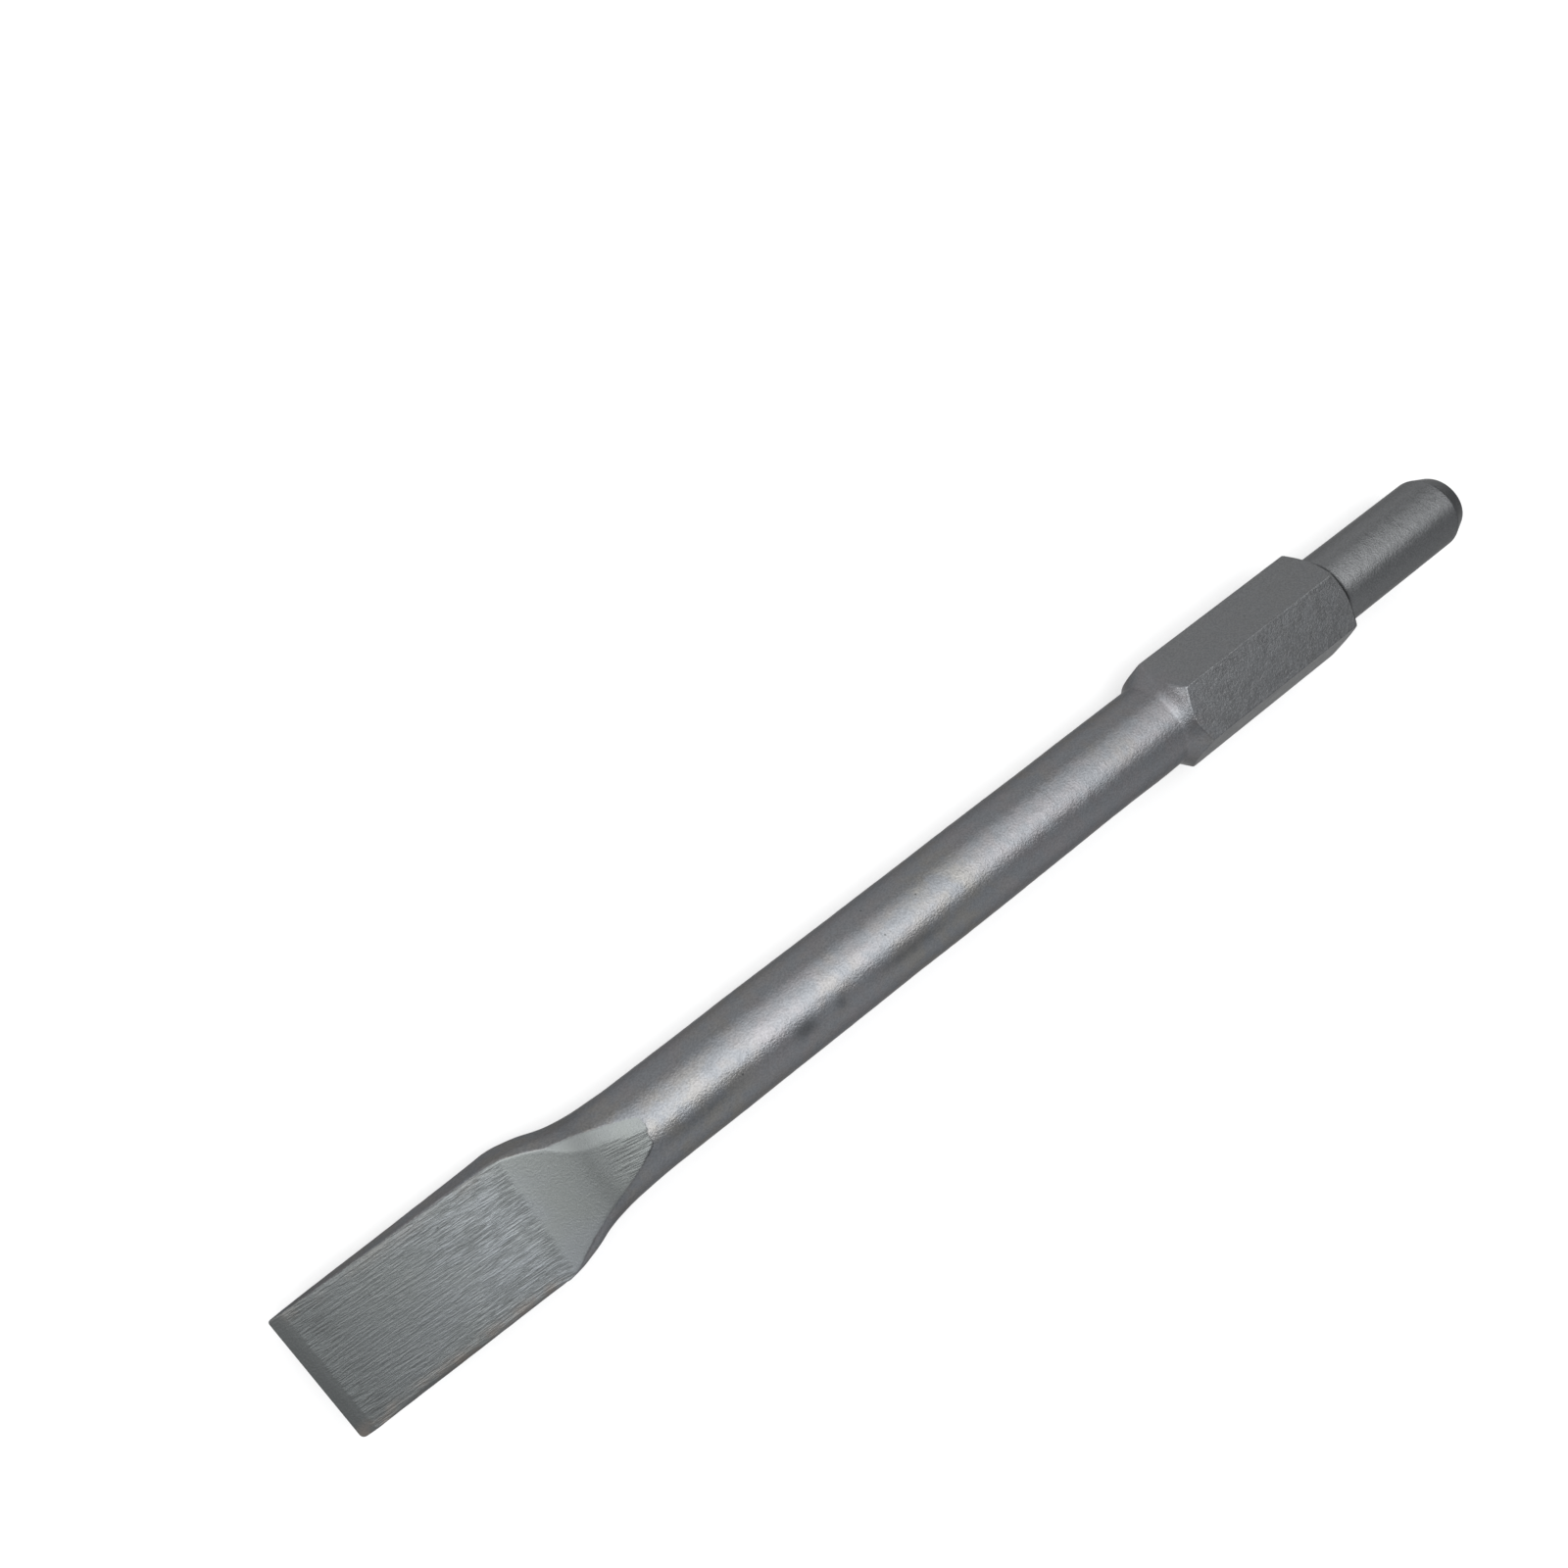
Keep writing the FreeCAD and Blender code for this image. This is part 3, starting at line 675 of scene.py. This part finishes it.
def steel_patterns(tree, place):
    """The fields that the mesh carries and the noises that the steel's colour and height are made of."""
    value = {}
    for name in ("crease", "belted", "raked", "rim", "painted_shade", "scale", "lip", "turned"):
        value[name] = add_node(tree, "ShaderNodeAttribute", {"attribute_name": name}, out="Fac")

    # Belt lines lie nearly along the axis and the streaks at the ramp's top 7 degrees off it. One cell of
    # the noise is 6 by 0.66 mm for a long line, 2.6 by 0.3 mm for a fine one and 8 by 0.48 mm for a streak.
    # The belt's finest lines wouldn't show, so the fine ones are drawn this coarse.
    belt = {}
    for name, turn, cell in (("long", -1.5, (0.0060, 0.00066, 0.003)),
                             ("fine", -3.5, (0.0026, 0.00030, 0.003)),
                             ("streak", -7.0, (0.0080, 0.00048, 0.003))):
        belt[name] = add_node(tree, "ShaderNodeMapping", {"vector_type": "TEXTURE"}, {
            "Vector": place, "Rotation": (0, 0, math.radians(turn)), "Scale": cell}, "Vector")

    # Each pattern is a noise: where it is read, its scale (one over its size in metres), detail, waviness.
    for name, vector, scale, detail, wave in (
            ("drift", place, 40.0, 3.0, 0.0),           # phosphate patches about 25 mm wide
            ("patch", place, 210.0, 3.0, 0.0),          # and about 5 mm wide
            ("crumble", place, 420.0, 3.0, 0.0),        # ragged edges of the scale
            ("ripple", place, 330.0, 2.0, 0.3),         # hammer ripple about 3 mm wide
            ("grain", place, 1900.0, 3.0, 0.0),         # blast grain, drawn 0.5 mm wide so that it shows
            ("press", place, 120.0, 1.0, 0.0),          # how hard the belt pressed, over about 8 mm
            ("long", belt["long"], 1.0, 1.6, 0.35),
            ("streak", belt["streak"], 1.0, 1.0, 0.25),
            ("fine", belt["fine"], 1.0, 2.0, 0.3)):
        value[name] = add_node(tree, "ShaderNodeTexNoise", None, {
            "Vector": vector, "Scale": scale, "Detail": detail, "Distortion": wave}, "Fac")

    # Pits about 0.4 mm wide hold dark scale; few of the cells have one.
    pits = add_node(tree, "ShaderNodeTexVoronoi", None, {"Vector": place, "Scale": 300.0}).outputs
    value["from pit"] = pits["Distance"]
    value["chance"] = add_node(tree, "ShaderNodeSeparateColor", None, {"Color": pits["Color"]}, "Red")
    return value


def steel_shares(tree, value):
    """Adds to the fields and patterns how far each colour and finish covers the steel."""
    # Each share runs from one value to another while its source goes from low to high.
    for name, source, low, high, first, last in (
            ("ground", "crease", -0.04, 0.04, 0.0, 1.0),
            ("before lip", "crease", -0.12, 0.0, 0.0, 1.0),
            ("past lip", "crease", 0.0, 0.12, 1.0, 0.0),
            ("warm", "drift", 0.42, 0.62, 0.0, 1.0),
            ("cool", "patch", 0.40, 0.62, 0.0, 1.0),
            ("rough skin", "patch", 0.30, 0.70, 0.31, 0.38),
            # painted shade on the forged skin beside the blade, where the ground steel is darkened most
            ("shaded side", "painted_shade", 0.5, 1.0, 0.0, 0.34),
            ("ragged", "crumble", 0.25, 0.60, 0.55, 1.0),
            ("pit", "from pit", 0.04, 0.11, 1.0, 0.0),
            ("few", "chance", 0.93, 0.97, 0.0, 0.8),
            ("pressed", "press", 0.35, 0.60, 0.7, 1.0),
            ("grained", "grain", 0.65, 0.35, 0.0, 0.30),
            ("film", "patch", 0.42, 0.60, 0.1, 0.75),
            ("long line", "long", 0.56, 0.40, 0.0, 0.68),
            ("fine line", "fine", 0.60, 0.42, 0.0, 0.8),
            ("dark streak", "streak", 0.56, 0.42, 0.0, 0.62)):
        value[name] = add_node(tree, "ShaderNodeMapRange", {"clamp": True}, {
            "Value": value[source], "From Min": low, "From Max": high, "To Min": first, "To Max": last},
            "Result")

    # Products of two of them.
    for name, first, second in (
            ("scaled", "scale", "ragged"),
            ("pitted", "pit", "few"),
            ("crest", "before lip", "past lip"),
            # painted shade in a thin line along the ramp's upper edge
            ("painted_crease_shade", "crest", "lip"),
            ("belt", "belted", "pressed"),
            ("groove", "long line", "belt"),
            ("scratch", "fine line", "belt"),
            ("rake", "dark streak", "raked"),
            ("stain", "film", "rim")):
        value[name] = add_node(tree, "ShaderNodeMath", {"operation": "MULTIPLY"},
                               {0: value[first], 1: value[second]}, "Value")


def blasted_steel(finish):
    """Forged alloy steel, shot-blasted and phosphated, with belt-ground blade faces. Blasting gives the eye
    a fine even grain and a broad soft highlight, phosphate a grey that drifts between cool and warm, and
    the belt short wavy lines that catch the light one by one."""
    material = bpy.data.materials.new("blasted_forged_steel")
    material.use_nodes = True
    tree = material.node_tree
    tree.nodes.clear()
    value = steel_patterns(tree, add_node(tree, "ShaderNodeTexCoord", out="Object"))
    steel_shares(tree, value)

    # The colours are laid over each other: the skin, the ground steel, and then what lies over both.
    value["skin"], value["steel"] = finish.blasted, finish.ground
    for under, share, over in (("skin", "warm", "blasted_warm"),
                               ("skin", "cool", "blasted_cool"),
                               ("skin", "turned", "turned"),
                               # The scale patches, and the painted shade at the foot of the pin.
                               ("skin", "scaled", "scale"),
                               # Painted shade on the forged skin beside the blade.
                               ("skin", "shaded side", "scale"),
                               ("skin", "grained", "scale"),
                               ("steel", "warm", "ground_green"),
                               # Painted shade: the ground steel darkens along the blade as painted_shade
                               # says.
                               ("steel", "painted_shade", "streak_and_shade_steel"),
                               ("steel", "groove", "grinding_lines"),
                               ("steel", "scratch", "grinding_lines"),
                               ("steel", "rake", "streak_and_shade_steel"),
                               ("steel", "stain", "stained"),
                               ("skin", "ground", "steel"),
                               ("skin", "pitted", "scale"),
                               # Painted shade along the ramp's upper edge, in the scale colour.
                               ("skin", "painted_crease_shade", "scale")):
        over = value["steel"] if over == "steel" else getattr(finish, over)
        value[under] = add_node(tree, "ShaderNodeMix", {"data_type": "RGBA"},
                                {"Factor": value[share], 6: value[under], 7: over}, 2)

    # Heights, each the product of the first two plus the third: blast grain on hammer ripple for the skin,
    # and for the steel belt lines and streaks, level where there are none, on worn grain.
    for name, *terms in (("skin height", "ripple", 1.1, "grain"),
                         ("worn grain", "grain", 0.4, 0.0),
                         ("long height", "long", 1.3, -1.1),
                         ("line height", "fine", 0.9, "long height"),
                         ("streak height", "streak", "raked", "worn grain"),
                         ("steel height", "line height", "belt", "streak height")):
        inputs = {place: value.get(term, term) for place, term in enumerate(terms)}
        value[name] = add_node(tree, "ShaderNodeMath", {"operation": "MULTIPLY_ADD"}, inputs, "Value")
    for name, height, strength, deep in (("skin bump", "skin height", 0.6, 0.00014),
                                         ("steel bump", "steel height", 0.7, 0.00028)):
        value[name] = add_node(tree, "ShaderNodeBump", None, {
            "Height": value[height], "Strength": strength, "Distance": deep}, "Normal")
    normal = add_node(tree, "ShaderNodeMix", {"data_type": "VECTOR"},
                      {"Factor": value["ground"], 4: value["skin bump"], 5: value["steel bump"]}, 1)
    rough = add_node(tree, "ShaderNodeMix", {"data_type": "FLOAT"},
                     {"Factor": value["ground"], 2: value["rough skin"], 3: 0.54}, 0)

    # The grey tint stands for phosphate, which keeps a metal from turning white where it's seen edge on.
    shader = add_node(tree, "ShaderNodeBsdfPrincipled", None, {
        "Base Color": value["skin"], "Roughness": rough, "Metallic": 1.0, "Normal": normal,
        "Specular Tint": linear("#b0b0b0")}, "BSDF")
    add_node(tree, "ShaderNodeOutputMaterial", None, {"Surface": shader})
    return material


class CHISEL_OT_forge(bpy.types.Operator):
    """Make the forged chisel in its blasted steel, in place of the plain CAD solid"""

    bl_idname = "chisel.forge"
    bl_label = "Forged chisel"

    def execute(self, context):
        scene = context.scene
        chisel = make_chisel(scene.chisel_sizes)
        scene.collection.objects.link(chisel)
        chisel.data.materials.append(blasted_steel(scene.chisel_finish))
        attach(chisel, BODY)
        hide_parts(NODE)
        return {"FINISHED"}


# Part of the floor that the camera and reflections see as the even white of a lit backdrop.
LIT_SHARE = 0.6

# The chisel lies on the shoulder end of a collar flat and on its body near the neck, here in metres.
RESTS_NEAR, RESTS_FAR = Vector((0.1248, 0, -0.0150)), Vector((0.308, 0, -0.0126))

# Half of the floor's side, in metres.
FLOOR_REACH = 6

# The room's light by direction: a name, the axis, and the two values that it runs between while the axis
# goes from low to high.
ROOM = (("height", "Z", 0.05, 0.9, 0.0, 1.0), ("lift", "Z", 0.3, 0.7, 0.0, 1.0),
        ("over edge", "X", -0.03, 0.42, 1.0, 0.5), ("beyond", "Y", 0.4, 0.8, 1.0, 1.6),
        ("past struck end", "X", -0.9, -0.5, 0.3, 1.0))
WALL_STRENGTH = 0.85

# Soft boxes: name, place, the x of the point on the chisel's axis that they face, width, height, watts.
LAMPS = (("overhead_box", (0.1975, -0.19, 1.0), 0.1975, 0.895, 0.68, 8.9),
         ("middle_box", (-0.45, -0.19, 1.0), -0.45, 0.40, 0.68, 2.1),
         ("end_box", (-0.875, -0.19, 1.0), -0.875, 0.45, 0.68, 1.5),
         ("side_box", (0.25, -0.72, 0.78), 0.25, 0.9, 0.50, 3.4),
         ("shoulder_box", (1.10, -0.10, 1.0), 1.10, 0.35, 0.5, 4.0),
         ("side_end_box", (-0.56, -0.72, 0.78), -0.56, 0.72, 0.50, 1.95),
         ("low_box", (-0.12, -1.02, 0.48), -0.12, 1.6, 0.40, 2.3),
         ("low_end_box", (1.20, -0.45, 0.45), 0.125, 0.5, 0.3, 2.8))

# Where the camera stands, in metres, and how it is turned, in degrees.
CAMERA_PLACE = (0.34709, -0.12551, 0.33758)
CAMERA_TURN = (0.0192, -22.3628, 146.4917)


def matt_paper(colour):
    """Plain matt paper. To the eye and in reflections part of it is the even white of a lit backdrop."""
    material = bpy.data.materials.new("matt_paper")
    material.use_nodes = True
    tree = material.node_tree
    tree.nodes.clear()
    paper = add_node(tree, "ShaderNodeBsdfPrincipled", None, {
        "Base Color": colour, "Roughness": 0.9, "Specular IOR Level": 0.1}, "BSDF")
    lit = add_node(tree, "ShaderNodeEmission", None, {"Color": (1, 1, 1, 1), "Strength": 1.0}, "Emission")
    ray = add_node(tree, "ShaderNodeLightPath").outputs
    part = ray["Is Camera Ray"]
    for operation, other in (("MAXIMUM", ray["Is Glossy Ray"]), ("MAXIMUM", ray["Is Transmission Ray"]),
                             ("MULTIPLY", LIT_SHARE)):
        part = add_node(tree, "ShaderNodeMath", {"operation": operation}, {0: part, 1: other}, "Value")
    both = add_node(tree, "ShaderNodeMixShader", None, {0: part, 1: paper, 2: lit}, 0)
    add_node(tree, "ShaderNodeOutputMaterial", None, {"Surface": both})
    return material


def lay_floor(scene, colour):
    """A square floor through the two places that the chisel rests on."""
    near, far = RESTS_NEAR, RESTS_FAR
    slope = (far.z - near.z) / (far.x - near.x)
    around = ((-1, -1), (1, -1), (1, 1), (-1, 1))
    corners = [(x * FLOOR_REACH, y * FLOOR_REACH, near.z + (x * FLOOR_REACH - near.x) * slope)
               for x, y in around]
    mesh = bpy.data.meshes.new("floor")
    mesh.from_pydata(corners, [], [(0, 1, 2, 3)])
    floor = bpy.data.objects.new("floor", mesh)
    mesh.materials.append(matt_paper(colour))
    scene.collection.objects.link(floor)


def studio_room(stage):
    """The light of the room from every direction: its colour goes from the walls' to the ceiling's with
    height, the ceiling is dimmer over the cutting edge, the wall beyond the chisel is brighter and the one
    past its struck end dimmer."""
    world = bpy.data.worlds.new("studio_room")
    world.use_nodes = True
    tree = world.node_tree
    tree.nodes.clear()
    direction = add_node(tree, "ShaderNodeTexCoord", out="Generated")
    parts = add_node(tree, "ShaderNodeSeparateXYZ", None, {0: direction})
    share = {}
    for name, axis, low, high, first, last in ROOM:
        share[name] = add_node(tree, "ShaderNodeMapRange", {"clamp": True}, {
            "Value": parts.outputs[axis], "From Min": low, "From Max": high,
            "To Min": first, "To Max": last}, "Result")
    shade = add_node(tree, "ShaderNodeMix", {"data_type": "RGBA"},
                     {"Factor": share["height"], 6: stage.world_low, 7: stage.world_high}, 2)
    strength = add_node(tree, "ShaderNodeMix", {"data_type": "FLOAT"},
                        {"Factor": share["lift"], 2: WALL_STRENGTH, 3: share["over edge"]}, 0)
    for name in ("beyond", "past struck end"):
        strength = add_node(tree, "ShaderNodeMath", {"operation": "MULTIPLY"},
                            {0: strength, 1: share[name]}, "Value")
    back = add_node(tree, "ShaderNodeBackground", None,
                    {"Color": shade, "Strength": strength}, "Background")
    add_node(tree, "ShaderNodeOutputWorld", None, {"Surface": back})
    return world


def soft_box(scene, name, place, aim_x, width, height, watts):
    """A white rectangular lamp that faces a point on the chisel's axis, its width level."""
    light = bpy.data.lights.new(name, "AREA")
    light.shape = "RECTANGLE"
    light.size, light.size_y, light.energy = width, height, watts
    lamp = bpy.data.objects.new(name, light)
    lamp.location = place
    lamp.rotation_euler = (Vector((aim_x, 0, 0)) - Vector(place)).to_track_quat("-Z", "Y").to_euler()
    scene.collection.objects.link(lamp)


def set_camera(scene, focal_length):
    """The camera that sees the chisel as the photo does."""
    lens = bpy.data.cameras.new("camera")
    lens.lens, lens.sensor_width = focal_length, 36
    lens.clip_start, lens.clip_end = 0.01, 20
    camera = bpy.data.objects.new("camera", lens)
    camera.location = CAMERA_PLACE
    camera.rotation_euler = Euler([math.radians(a) for a in CAMERA_TURN])
    scene.collection.objects.link(camera)
    scene.camera = camera


class CHISEL_OT_stage(bpy.types.Operator):
    """Make the floor, the room's light, the lamps and the camera"""

    bl_idname = "chisel.stage"
    bl_label = "Studio stage"

    def execute(self, context):
        scene = context.scene
        stage = scene.chisel_stage
        lay_floor(scene, stage.floor_colour)
        scene.world = studio_room(stage)
        for lamp in LAMPS:
            soft_box(scene, *lamp)
        set_camera(scene, stage.lens)
        scene.view_settings.view_transform = "Standard"
        return {"FINISHED"}


class CHISEL_PT_panel(bpy.types.Panel):
    """Chisel tools and their sizes"""

    bl_idname = "CHISEL_PT_panel"
    bl_label = "Chisel"
    bl_space_type = "VIEW_3D"
    bl_region_type = "UI"
    bl_category = "Chisel"

    def draw(self, context):
        layout = self.layout
        for operator in (CHISEL_OT_forge, CHISEL_OT_stage):
            layout.operator(operator.bl_idname)
        for group in (context.scene.chisel_sizes, context.scene.chisel_finish, context.scene.chisel_stage):
            for item in group.bl_rna.properties:
                if item.identifier not in ("rna_type", "name"):
                    layout.prop(group, item.identifier)


CLASSES = (ChiselSizes, ChiselFinish, StageSettings, CHISEL_OT_forge, CHISEL_OT_stage, CHISEL_PT_panel)


def register():
    for item in CLASSES:
        bpy.utils.register_class(item)
    bpy.types.Scene.chisel_sizes = PointerProperty(type=ChiselSizes)
    bpy.types.Scene.chisel_finish = PointerProperty(type=ChiselFinish)
    bpy.types.Scene.chisel_stage = PointerProperty(type=StageSettings)


def unregister():
    del bpy.types.Scene.chisel_sizes
    del bpy.types.Scene.chisel_finish
    del bpy.types.Scene.chisel_stage
    for item in reversed(CLASSES):
        bpy.utils.unregister_class(item)


def main():
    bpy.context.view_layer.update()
    register()
    bpy.ops.chisel.forge()
    bpy.ops.chisel.stage()


if __name__ == "__main__":
    main()
